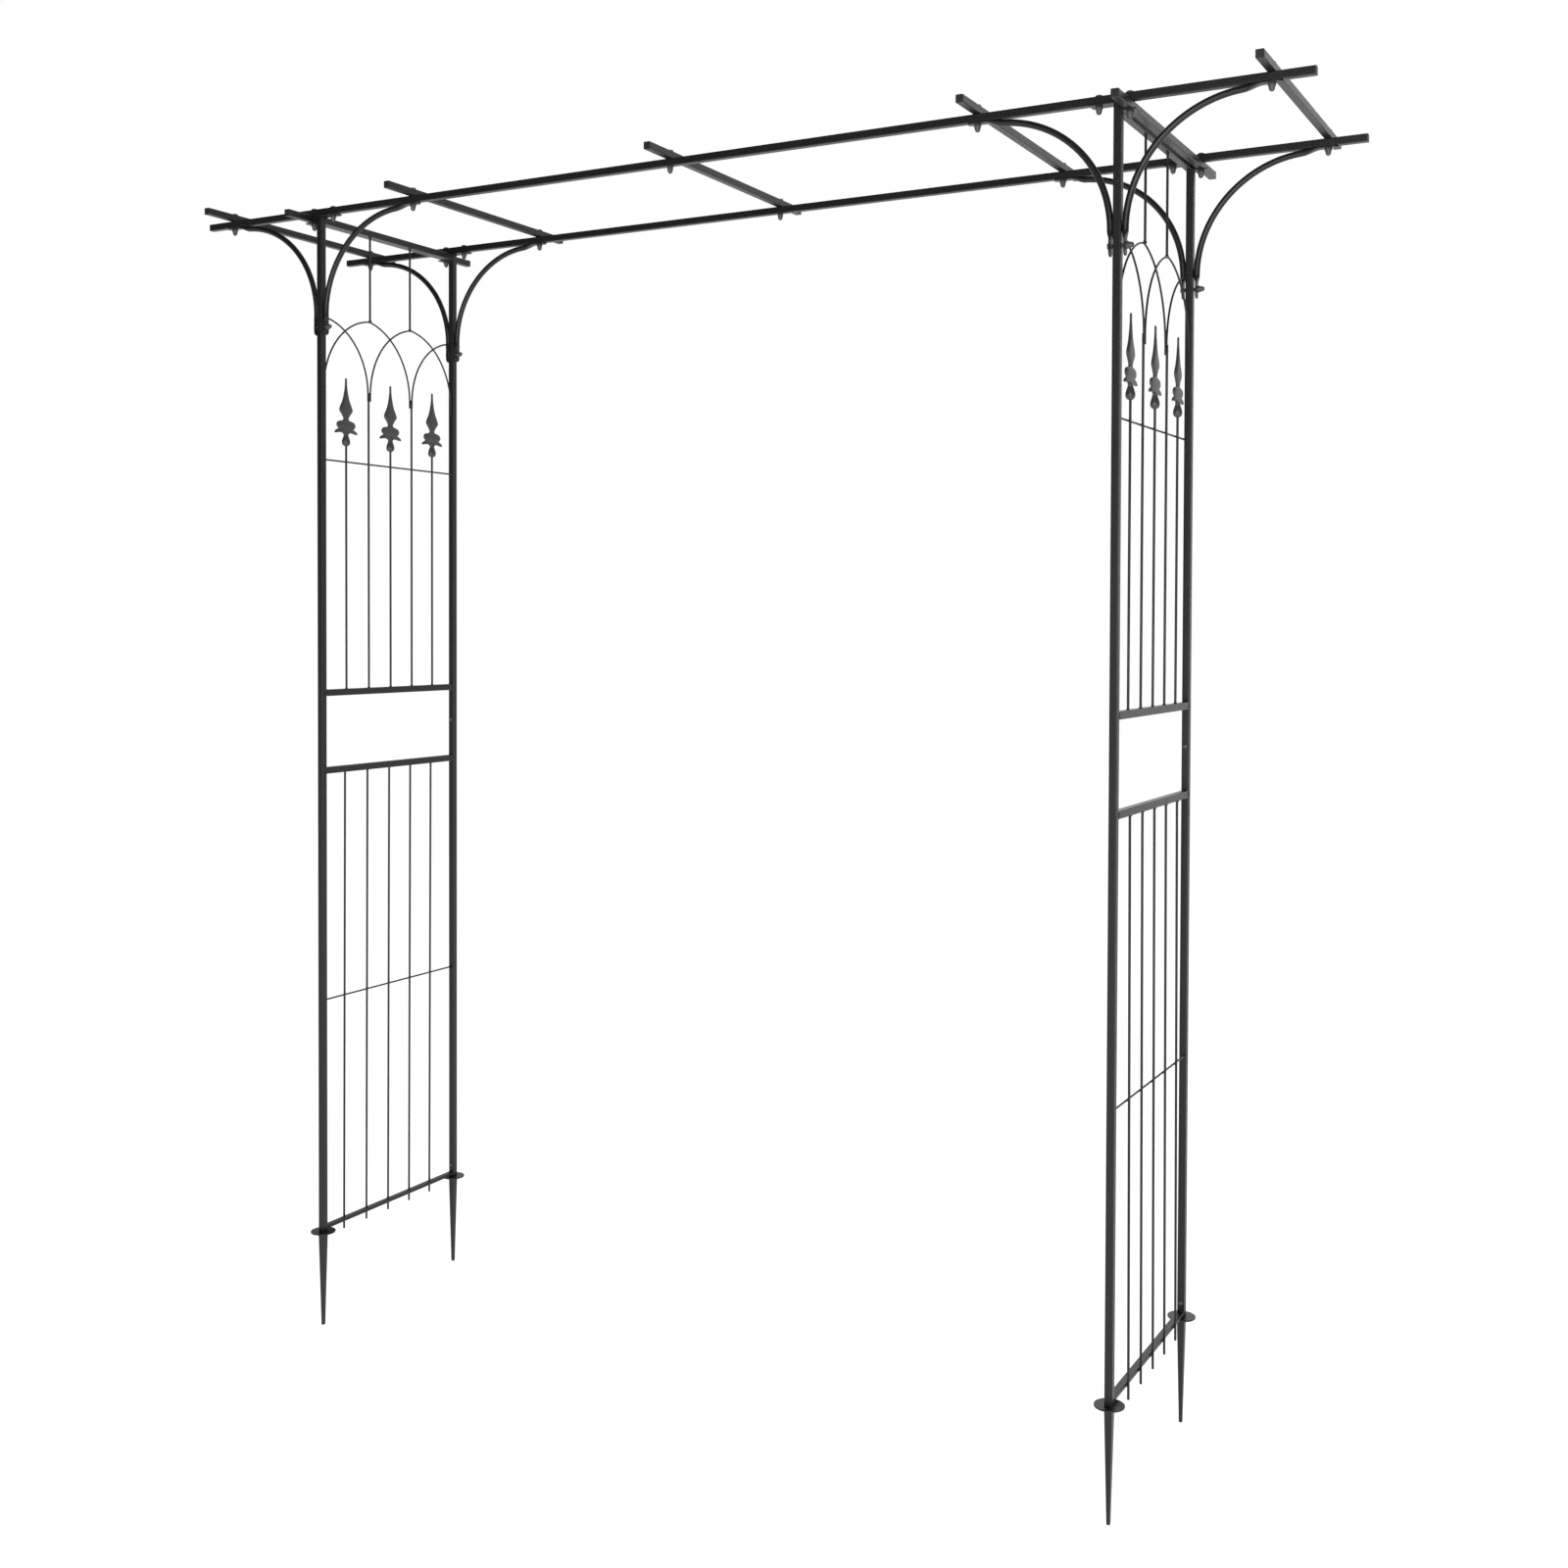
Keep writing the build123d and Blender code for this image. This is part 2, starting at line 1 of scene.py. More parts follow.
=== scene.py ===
"""Looks of the metal trellis arch: coated tube, pressed brace ends, cast spearheads and welds."""

import json
import logging
import math
from dataclasses import dataclass, field
from enum import Enum
from typing import Callable, Sequence

import bmesh
import bpy
import numpy as np
from mathutils import Matrix, Vector


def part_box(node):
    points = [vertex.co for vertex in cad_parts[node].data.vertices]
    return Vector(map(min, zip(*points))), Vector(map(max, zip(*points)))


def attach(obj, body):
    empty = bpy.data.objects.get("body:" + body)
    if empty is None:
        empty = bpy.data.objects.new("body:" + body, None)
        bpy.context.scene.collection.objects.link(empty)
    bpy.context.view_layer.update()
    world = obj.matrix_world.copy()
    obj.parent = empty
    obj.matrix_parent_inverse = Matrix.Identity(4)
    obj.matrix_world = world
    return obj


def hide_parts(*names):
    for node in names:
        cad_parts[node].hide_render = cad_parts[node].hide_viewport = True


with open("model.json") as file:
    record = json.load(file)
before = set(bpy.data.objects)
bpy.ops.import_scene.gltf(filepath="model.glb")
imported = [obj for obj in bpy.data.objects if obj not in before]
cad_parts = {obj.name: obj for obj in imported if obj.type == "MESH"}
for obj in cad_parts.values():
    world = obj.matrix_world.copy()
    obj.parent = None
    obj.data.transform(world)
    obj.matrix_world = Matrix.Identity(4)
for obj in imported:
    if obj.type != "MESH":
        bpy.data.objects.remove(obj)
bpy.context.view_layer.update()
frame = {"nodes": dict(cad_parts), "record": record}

log = logging.getLogger("trellis_arch")

MM = 0.001
BODY = "root"
DRIFT_SIZE = 120.0 * MM
MOTTLE_SIZE = 4.0 * MM
DRIFT_SHADE = 0.18
GRIT_FINER = 4.0
GRIT_SHALLOWER = 5.0


# ---- where things are --------------------------------------------------------------------------
class Side(Enum):
    """A side panel, by the sign of its place along X."""

    LEFT = -1
    RIGHT = 1

    @property
    def word(self) -> str:
        """The side as the node names spell it."""
        return self.name.lower()


class Row(Enum):
    """The front or rear line of posts, by the sign of its place along Y."""

    FRONT = -1
    REAR = 1

    @property
    def word(self) -> str:
        """The row as the node names spell it."""
        return self.name.lower()


def node_low(node: str) -> np.ndarray:
    """The lowest corner of a node."""
    return np.array(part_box(node)[0])


def node_high(node: str) -> np.ndarray:
    """The highest corner of a node."""
    return np.array(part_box(node)[1])


def node_middle(node: str) -> np.ndarray:
    """The middle of a node's box."""
    return (node_low(node) + node_high(node)) / 2


@dataclass(frozen=True)
class Layout:
    """Lines and levels that several sub-assemblies share, in metres."""

    post_x: float
    post_y: float
    half_tube: float
    rail_under: float
    rail_top: float
    brace_bolt_z: float
    crossbeams: tuple[float, ...]

    @classmethod
    def from_frame(cls) -> "Layout":
        """Read the shared lines and levels from the frame."""
        post = "right_rear_upper_post"
        middle = node_middle(post)
        beams = [name for name in frame["nodes"] if name.endswith("_crossbeam")]
        return cls(
            post_x=middle[0],
            post_y=middle[1],
            half_tube=(node_high(post)[0] - node_low(post)[0]) / 2,
            rail_under=node_low("rear_right_rail")[2],
            rail_top=node_high("rear_right_rail")[2],
            brace_bolt_z=node_middle("brace_bolts")[2],
            crossbeams=tuple(sorted(node_middle(name)[0] for name in beams)),
        )

    def posts(self) -> list[tuple[float, float]]:
        """The four post lines as (x, y)."""
        return [(s.value * self.post_x, r.value * self.post_y) for s in Side for r in Row]


# ---- surfaces ----------------------------------------------------------------------------------
@dataclass
class Surface:
    """Vertices and quads or triangles that will become one mesh."""

    points: list[np.ndarray] = field(default_factory=list)
    faces: list[np.ndarray] = field(default_factory=list)
    count: int = 0

    def add_grid(self, grid: np.ndarray, ring: bool = True, loop: bool = False) -> None:
        """Add a grid of points as quads.

        Args:
            grid: points as rows by columns by 3. Columns run round the section.
            ring: whether the last column joins the first.
            loop: whether the last row joins the first.
        """
        rows, columns = grid.shape[:2]
        numbers = np.arange(rows * columns).reshape(rows, columns) + self.count
        across = np.concatenate([numbers, numbers[:, :1]], axis=1) if ring else numbers
        whole = np.concatenate([across, across[:1]], axis=0) if loop else across
        quads = np.stack([whole[:-1, :-1], whole[:-1, 1:], whole[1:, 1:], whole[1:, :-1]], axis=-1)
        self.points.append(grid.reshape(-1, 3))
        self.faces.append(quads.reshape(-1, 4))
        self.count += rows * columns

    def build(self, name: str, weld: float = 1e-6) -> bpy.types.Object:
        """Make the mesh object, merge coincident points and turn its faces outwards.

        Args:
            name: the piece's name.
            weld: points nearer than this, in metres, become one, which closes poles and seams.

        Returns:
            The finished object, linked to the scene and riding on the frame's body.
        """
        mesh = bpy.data.meshes.new(name)
        mesh.from_pydata(np.concatenate(self.points).tolist(), [], np.concatenate(self.faces).tolist())
        work = bmesh.new()
        work.from_mesh(mesh)
        bmesh.ops.remove_doubles(work, verts=work.verts, dist=weld)
        bmesh.ops.dissolve_degenerate(work, edges=work.edges, dist=weld)
        bmesh.ops.recalc_face_normals(work, faces=work.faces)
        work.to_mesh(mesh)
        work.free()
        mesh.polygons.foreach_set("use_smooth", np.ones(len(mesh.polygons), bool))
        piece = bpy.data.objects.new(name, mesh)
        bpy.context.scene.collection.objects.link(piece)
        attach(piece, BODY)
        return piece


def smoothstep(low: float, high: float, value: np.ndarray) -> np.ndarray:
    """Rise from 0 at low to 1 at high along 3t^2 - 2t^3."""
    share = np.clip((value - low) / (high - low), 0.0, 1.0)
    return share * share * (3.0 - 2.0 * share)


def superellipse(angle: np.ndarray, power: np.ndarray) -> tuple[np.ndarray, np.ndarray]:
    """Unit section |u|^p + |v|^p = 1: u and v are cos and sin raised to 2/p, signs kept.

    Args:
        angle: angles round the section.
        power: p for each row; 2 is a circle and more is squarer.

    Returns:
        The two unit coordinates, rows by columns.
    """
    cosine, sine = np.cos(angle)[None, :], np.sin(angle)[None, :]
    exponent = (2.0 / power)[:, None]
    return (np.sign(cosine) * np.abs(cosine) ** exponent,
            np.sign(sine) * np.abs(sine) ** exponent)


def smooth_line(knots: np.ndarray, per_span: int) -> np.ndarray:
    """Catmull-Rom curve through every knot: on each span a cubic whose end slopes are half the
    chord between the neighbours.

    Args:
        knots: knot values as rows; any number of columns.
        per_span: samples on each span.

    Returns:
        The sampled rows, from the first knot to the last.
    """
    padded = np.concatenate([knots[:1], knots, knots[-1:]])
    before, start, end, after = padded[:-3], padded[1:-2], padded[2:-1], padded[3:]
    t = np.linspace(0.0, 1.0, per_span, endpoint=False)[None, :, None]
    b, p, q, a = (k[:, None, :] for k in (before, start, end, after))
    cubic = 0.5 * (2 * p + (q - b) * t + (2 * b - 5 * p + 4 * q - a) * t ** 2
                   + (3 * p - b - 3 * q + a) * t ** 3)
    return np.concatenate([cubic.reshape(-1, knots.shape[1]), knots[-1:]])


def axes_about(normal: Sequence[float]) -> tuple[np.ndarray, np.ndarray, np.ndarray]:
    """Two unit vectors square to a direction, and the direction itself made unit."""
    along = np.array(normal, float) / np.linalg.norm(normal)
    helper = np.array([1.0, 0, 0]) if abs(along[0]) < 0.9 else np.array([0, 1.0, 0])
    first = np.cross(along, helper)
    first /= np.linalg.norm(first)
    return first, np.cross(along, first), along


def turned(surface: Surface, at: Sequence[float], normal: Sequence[float], radii: np.ndarray,
           heights: np.ndarray, columns: int = 32,
           limit: Callable[[np.ndarray], np.ndarray] | None = None) -> None:
    """Add a turned piece: a profile of radius against height, carried round an axis.

    Args:
        surface: what it is added to.
        at: the point at height 0.
        normal: the axis.
        radii: profile radii; a 0 at either end closes it.
        heights: profile heights.
        columns: points round the axis.
        limit: the largest radius at each angle, which cuts flats such as a hexagon's.
    """
    first, second, along = axes_about(normal)
    angle = np.linspace(0, 2 * np.pi, columns, endpoint=False)
    radius = np.repeat(radii[:, None], columns, axis=1)
    if limit is not None:
        radius = np.minimum(radius, limit(angle)[None, :])
    spoke = np.cos(angle)[:, None] * first + np.sin(angle)[:, None] * second
    grid = np.array(at) + radius[..., None] * spoke[None] + heights[:, None, None] * along
    surface.add_grid(grid)


# ---- finishes ----------------------------------------------------------------------------------
class Slot(Enum):
    """The record's material slots."""

    COAT = "powder_coat"
    CASTING = "coated_casting"
    FASTENER = "blackened_steel"
    PLUG = "black_plastic"


@dataclass(frozen=True)
class CoatFinish:
    """A dark coating: base colour drifting a little, fine texture, softened edges painted a little
    lighter (a thinner coat there, plus a painted edge highlight) and dust.

    Lengths are in metres, so a texture keeps its size on every piece.
    """

    name: str
    colour: tuple[float, float, float]
    # Lighter colour for the edges: partly a thinner coat, partly a painted edge highlight.
    thin_colour: tuple[float, float, float]
    dust_colour: tuple[float, float, float]
    roughness: float
    roughness_swing: float
    peel_size: float
    peel_height: float
    coat: float
    coat_roughness: float
    edge_radius: float
    dust: float
    specular: float = 0.5

    def material(self) -> bpy.types.Material:
        """Build the node material.

        Returns:
            The material, made once for each finish.
        """
        made = bpy.data.materials.get(self.name)
        if made is not None:
            return made
        material = bpy.data.materials.new(self.name)
        material.use_nodes = True
        tree = material.node_tree
        shader = tree.nodes["Principled BSDF"]
        shader.inputs["Coat Weight"].default_value = self.coat
        shader.inputs["Coat Roughness"].default_value = self.coat_roughness
        shader.inputs["Specular IOR Level"].default_value = self.specular
        place = tree.nodes.new("ShaderNodeTexCoord").outputs["Object"]
        drift = self._noise(tree, place, DRIFT_SIZE, 3.0)
        mottle = self._noise(tree, place, MOTTLE_SIZE, 4.0)
        peel = self._noise(tree, place, self.peel_size, 2.0)
        grit = self._noise(tree, place, self.peel_size / GRIT_FINER, 2.0)
        edge = self._edge_mask(tree)
        dust = self._dust_mask(tree, mottle)
        # Edges go lighter: partly a thinner coat, partly a painted edge highlight.
        colour = self._mixed(tree, edge, self.colour, self.thin_colour)
        colour = self._mixed(tree, dust, colour, self.dust_colour)
        shade = tree.nodes.new("ShaderNodeHueSaturation")
        value = self._ranged(tree, drift, 1 - DRIFT_SHADE, 1 + DRIFT_SHADE)
        tree.links.new(value, shade.inputs["Value"])
        tree.links.new(colour, shade.inputs["Color"])
        tree.links.new(shade.outputs["Color"], shader.inputs["Base Color"])
        swing = self._ranged(tree, mottle, self.roughness - self.roughness_swing,
                             self.roughness + self.roughness_swing)
        tree.links.new(swing, shader.inputs["Roughness"])
        coarse = self._bump(tree, peel, self.peel_height, self._soft_normal(tree))
        fine = self._bump(tree, grit, self.peel_height / GRIT_SHALLOWER, coarse)
        tree.links.new(fine, shader.inputs["Normal"])
        return material

    @staticmethod
    def _noise(tree: bpy.types.NodeTree, place: bpy.types.NodeSocket, size: float,
               detail: float) -> bpy.types.NodeSocket:
        """Add a noise texture whose features are about `size` metres across."""
        noise = tree.nodes.new("ShaderNodeTexNoise")
        noise.inputs["Scale"].default_value = 1.0 / size
        noise.inputs["Detail"].default_value = detail
        tree.links.new(place, noise.inputs["Vector"])
        return noise.outputs["Fac"]

    @staticmethod
    def _ranged(tree: bpy.types.NodeTree, value: bpy.types.NodeSocket, low: float,
                high: float) -> bpy.types.NodeSocket:
        """Stretch the middle of a noise value over a range."""
        stretch = tree.nodes.new("ShaderNodeMapRange")
        stretch.inputs["From Min"].default_value = 0.3
        stretch.inputs["From Max"].default_value = 0.7
        stretch.inputs["To Min"].default_value = low
        stretch.inputs["To Max"].default_value = high
        tree.links.new(value, stretch.inputs["Value"])
        return stretch.outputs["Result"]

    @staticmethod
    def _mixed(tree: bpy.types.NodeTree, share: bpy.types.NodeSocket,
               low: bpy.types.NodeSocket | tuple[float, float, float],
               high: tuple[float, float, float]) -> bpy.types.NodeSocket:
        """Mix a colour towards another one by a share."""
        mix = tree.nodes.new("ShaderNodeMix")
        mix.data_type = "RGBA"
        tree.links.new(share, mix.inputs["Factor"])
        if isinstance(low, tuple):
            mix.inputs["A"].default_value = (*low, 1.0)
        else:
            tree.links.new(low, mix.inputs["A"])
        mix.inputs["B"].default_value = (*high, 1.0)
        return mix.outputs["Result"]

    def _soft_normal(self, tree: bpy.types.NodeTree) -> bpy.types.NodeSocket:
        """The surface normal with edges rounded over the finish's edge radius."""
        bevel = tree.nodes.new("ShaderNodeBevel")
        bevel.samples = 6
        bevel.inputs["Radius"].default_value = self.edge_radius
        return bevel.outputs["Normal"]

    def _edge_mask(self, tree: bpy.types.NodeTree) -> bpy.types.NodeSocket:
        """1 on edges, where the colour is painted lighter for a coating drawn thin and as a painted
        edge highlight, and 0 on flats: from how far rounding the edge turns the normal."""
        geometry = tree.nodes.new("ShaderNodeNewGeometry")
        dot = tree.nodes.new("ShaderNodeVectorMath")
        dot.operation = "DOT_PRODUCT"
        tree.links.new(geometry.outputs["Normal"], dot.inputs[0])
        tree.links.new(self._soft_normal(tree), dot.inputs[1])
        mask = tree.nodes.new("ShaderNodeMapRange")
        mask.inputs["From Min"].default_value = 0.99
        mask.inputs["From Max"].default_value = 0.82
        tree.links.new(dot.outputs["Value"], mask.inputs["Value"])
        return mask.outputs["Result"]

    def _dust_mask(self, tree: bpy.types.NodeTree,
                   mottle: bpy.types.NodeSocket) -> bpy.types.NodeSocket:
        """Dust lies on faces that look up, broken up by the mottle."""
        geometry = tree.nodes.new("ShaderNodeNewGeometry")
        split = tree.nodes.new("ShaderNodeSeparateXYZ")
        tree.links.new(geometry.outputs["Normal"], split.inputs[0])
        upward = tree.nodes.new("ShaderNodeMapRange")
        upward.inputs["From Min"].default_value = 0.35
        upward.inputs["From Max"].default_value = 1.0
        upward.inputs["To Max"].default_value = self.dust
        tree.links.new(split.outputs["Z"], upward.inputs["Value"])
        broken = tree.nodes.new("ShaderNodeMath")
        broken.operation = "MULTIPLY"
        tree.links.new(upward.outputs["Result"], broken.inputs[0])
        tree.links.new(self._ranged(tree, mottle, 0.4, 1.0), broken.inputs[1])
        return broken.outputs[0]

    @staticmethod
    def _bump(tree: bpy.types.NodeTree, height: bpy.types.NodeSocket, depth: float,
              normal: bpy.types.NodeSocket) -> bpy.types.NodeSocket:
        """Turn a height into a bump of `depth` metres on top of a normal."""
        bump = tree.nodes.new("ShaderNodeBump")
        bump.inputs["Distance"].default_value = depth
        bump.inputs["Strength"].default_value = 1.0
        tree.links.new(height, bump.inputs["Height"])
        tree.links.new(normal, bump.inputs["Normal"])
        return bump.outputs["Normal"]


# The second colour of each finish is the edge colour: a thinner coat plus a painted edge highlight.
FINISHES: dict[Slot, CoatFinish] = {
    Slot.COAT: CoatFinish(
        "satin_powder_coat", (0.0062, 0.0060, 0.0058), (0.016, 0.0155, 0.015), (0.05, 0.049, 0.046),
        roughness=0.40, roughness_swing=0.05, peel_size=1.6 * MM, peel_height=0.05 * MM,
        coat=0.0, coat_roughness=0.25, edge_radius=0.9 * MM, dust=0.08,
        specular=0.36),
    Slot.CASTING: CoatFinish(
        "coated_casting", (0.0066, 0.0064, 0.0062), (0.018, 0.0175, 0.0165), (0.05, 0.049, 0.046),
        roughness=0.36, roughness_swing=0.06, peel_size=2.2 * MM, peel_height=0.08 * MM,
        coat=0.6, coat_roughness=0.2, edge_radius=0.5 * MM, dust=0.08),
    Slot.FASTENER: CoatFinish(
        "blackened_steel", (0.008, 0.008, 0.0083), (0.03, 0.029, 0.0275), (0.05, 0.049, 0.046),
        roughness=0.34, roughness_swing=0.06, peel_size=0.7 * MM, peel_height=0.02 * MM,
        coat=0.2, coat_roughness=0.22, edge_radius=0.4 * MM, dust=0.08),
    Slot.PLUG: CoatFinish(
        "moulded_plug", (0.007, 0.007, 0.0071), (0.010, 0.010, 0.010), (0.045, 0.044, 0.042),
        roughness=0.5, roughness_swing=0.05, peel_size=0.5 * MM, peel_height=0.02 * MM,
        coat=0.0, coat_roughness=0.3, edge_radius=0.6 * MM, dust=0.12),
}


def dress(piece: bpy.types.Object, slot: Slot) -> None:
    """Give a new piece the finish of a record slot."""
    piece.data.materials.clear()
    piece.data.materials.append(FINISHES[slot].material())


def dress_frame_nodes() -> None:
    """Give every node of the frame the finish that the record names for it."""
    slots = {row["node"]: Slot(row["material_slot"]) for row in frame["record"]["subparts"]}
    for name, node in frame["nodes"].items():
        finish = FINISHES[slots[name]].material()
        for place in node.material_slots:
            place.material = finish
        if not node.material_slots:
            node.data.materials.append(finish)


# ---- braces ------------------------------------------------------------------------------------
@dataclass(frozen=True)
class Brace:
    """A quarter-round tube whose two ends are pressed flat and bolted."""

    side: Side
    row: Row
    inner: bool
    layout: Layout
    radius: float = 5.0 * MM
    bend: float = 176.0 * MM
    tab_half_thickness: float = 1.25 * MM
    tab_half_width: float = 7.0 * MM
    neck: float = 12.0 * MM
    upper_neck: float = 26.0 * MM
    tab_end: float = 15.0 * MM
    upper_neck_end: float = 13.0 * MM
    columns: int = 32

    @property
    def node(self) -> str:
        """The CAD node this piece stands for."""
        kind = "inner" if self.inner else "outer"
        return f"{self.side.word}_{self.row.word}_{kind}_brace"

    def build(self) -> bpy.types.Object:
        """Make the brace: a superellipse section carried along an L with a quarter-round corner.

        The distance s runs from the lower tab's end to the upper tab's. The half width and half
        thickness go smoothly from the tube's radius to the tab's over the neck, the section's
        power goes from 2 to 6 with them, and at each end the width follows a half circle.

        Returns:
            The finished piece.
        """
        hand = -self.side.value if self.inner else self.side.value
        line = self.side.value * self.layout.post_x + hand * (self.layout.half_tube + self.radius)
        bend_z = self.layout.rail_under - self.radius - self.bend
        lower = bend_z - self.layout.brace_bolt_z + self.tab_end
        beams = np.array(self.layout.crossbeams)
        post = self.side.value * self.layout.post_x
        ahead = np.where((beams - post) * hand > 0, np.abs(beams - post), np.inf)
        upper_bolt = beams[np.argmin(ahead)]
        arc = self.bend * np.pi / 2
        upper = abs(upper_bolt - line) - self.bend + self.tab_end
        total = lower + arc + upper
        s = self._stations(lower, arc, total)
        turn = np.clip((s - lower) / arc, 0.0, 1.0) * np.pi / 2
        before, after = np.minimum(s - lower, 0.0), np.maximum(s - lower - arc, 0.0)
        x = line + hand * (self.bend * (1 - np.cos(turn)) + after)
        z = bend_z + self.bend * np.sin(turn) + before
        round_low = smoothstep(lower - self.neck, lower, s)
        round_high = 1 - smoothstep(total - self.tab_end - self.upper_neck_end - self.upper_neck,
                                    total - self.tab_end - self.upper_neck_end, s)
        tube = np.minimum(round_low, round_high)
        to_end = np.minimum(s, total - s)
        reach = np.clip(to_end / self.tab_half_width, 0.0, 1.0)
        rounding = np.sqrt(1 - (1 - reach) ** 2)
        width = (self.tab_half_width + (self.radius - self.tab_half_width) * tube) * rounding
        lip = np.clip(to_end / (0.6 * MM), 0.0, 1.0)
        thickness = self.tab_half_thickness + (self.radius - self.tab_half_thickness) * tube
        thickness *= np.sqrt(1 - (1 - lip) ** 2)
        press = np.where(s > total / 2, (self.radius - self.tab_half_thickness) * (1 - tube), 0.0)
        angle = np.linspace(0, 2 * np.pi, self.columns, endpoint=False)
        across, through = superellipse(angle, 2 + 4 * (1 - tube))
        normal = np.stack([-hand * np.cos(turn), np.zeros_like(s), np.sin(turn)], axis=1)
        middle = np.stack([x, np.full_like(s, self.row.value * self.layout.post_y), z], axis=1)
        middle = middle + press[:, None] * normal
        grid = (middle[:, None, :] + (through * thickness[:, None])[..., None] * normal[:, None, :]
                + (across * width[:, None])[..., None] * np.array([0.0, 1.0, 0.0]))
        surface = Surface()
        surface.add_grid(grid)
        piece = surface.build(f"{self.node}_formed")
        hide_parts(self.node)
        dress(piece, Slot.COAT)
        return piece

    def _stations(self, lower: float, arc: float, total: float) -> np.ndarray:
        """Distances along the brace, closest together at the rounded ends and the necks."""
        ends = self.tab_half_width * (1 - np.cos(np.linspace(0, np.pi / 2, 12)))
        low = np.linspace(self.tab_half_width, lower, 16)[1:]
        bend = np.linspace(lower, lower + arc, 56)[1:]
        high = np.linspace(lower + arc, total - self.tab_half_width, 20)[1:]
        return np.concatenate([ends, low, bend, high, (total - ends)[::-1][1:]])


# ---- spearheads --------------------------------------------------------------------------------
@dataclass(frozen=True)
class Spearheads:
    """Three cast spearheads of one panel."""

    side: Side
    per_span: int = 5
    columns: int = 36
    lug_reach: float = 31.0 * MM
    bulb_top: float = 20.0 * MM
    blade_start: float = 26.0 * MM

    # half width, height of the rim, height of the ridge behind it, half thickness (millimetres)
    KNOTS = (
        (2.4, 0.0, 0.0, 2.4), (5.4, 1.2, 1.2, 4.8), (7.8, 4.2, 4.2, 6.8), (8.4, 8.2, 8.2, 7.2),
        (7.4, 12.6, 12.6, 6.4), (5.6, 17.4, 17.4, 4.9), (5.2, 21.6, 21.6, 3.7),
        (10.0, 24.4, 25.5, 3.2), (19.0, 24.6, 28.0, 3.2), (28.0, 23.0, 29.5, 3.2),
        (30.8, 24.6, 30.2, 3.1), (27.0, 28.6, 31.0, 2.8), (20.6, 32.0, 32.6, 2.0),
        (24.0, 35.4, 35.6, 2.9), (25.0, 40.0, 39.0, 3.2), (21.5, 44.6, 42.0, 3.0),
        (14.5, 46.8, 45.0, 2.5), (8.0, 48.4, 48.2, 2.1), (6.4, 52.0, 52.0, 2.6),
        (10.5, 58.0, 58.0, 2.9), (16.0, 64.0, 64.0, 3.0), (17.4, 68.0, 68.0, 3.0),
        (14.4, 75.0, 75.0, 2.9), (9.8, 83.0, 83.0, 2.6), (6.2, 93.0, 93.0, 2.3),
        (3.2, 106.0, 106.0, 1.9), (2.0, 116.0, 116.0, 1.6), (1.8, 125.0, 125.0, 1.5),
        (0.0, 127.0, 127.0, 0.0),
    )

    def build(self) -> bpy.types.Object:
        """Make the three spearheads of the panel.

        Each is one closed surface. A smooth line gives the rim's half width w and height r, the
        ridge's height c and the half thickness t. Round the section at angle a the point is
        across = w sin a, height = c + (r - c)|sin a|, depth = t cos a, squared off a little.

        Returns:
            The finished piece.
        """
        node = f"{self.side.word}_spearheads"
        low, high = node_low(node), node_high(node)
        middle_x = (low[0] + high[0]) / 2
        line = smooth_line(np.array(self.KNOTS), self.per_span) * MM
        foot = np.array([[0.0, 0.0, 0.0, 0.0]])
        line = np.concatenate([foot, np.maximum(line, 0.0)])
        line[-1] = (0.0, high[2] - low[2], high[2] - low[2], 0.0)
        angle = np.linspace(0, 2 * np.pi, self.columns, endpoint=False)
        squared = smoothstep(self.bulb_top, self.blade_start, line[:, 2])
        depth, across = superellipse(angle, 2 + 1.2 * squared)
        width, rim, ridge, thick = (line[:, i, None] for i in range(4))
        half_reach = (high[1] - low[1]) / 2 - self.lug_reach
        surface = Surface()
        for place in (-half_reach, 0.0, half_reach):
            y = place + width * across
            z = low[2] + ridge + (rim - ridge) * np.abs(across)
            x = middle_x + thick * depth
            surface.add_grid(np.stack([x, y, z], axis=-1))
        piece = surface.build(f"{node}_cast")
        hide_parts(node)
        dress(piece, Slot.CASTING)
        return piece


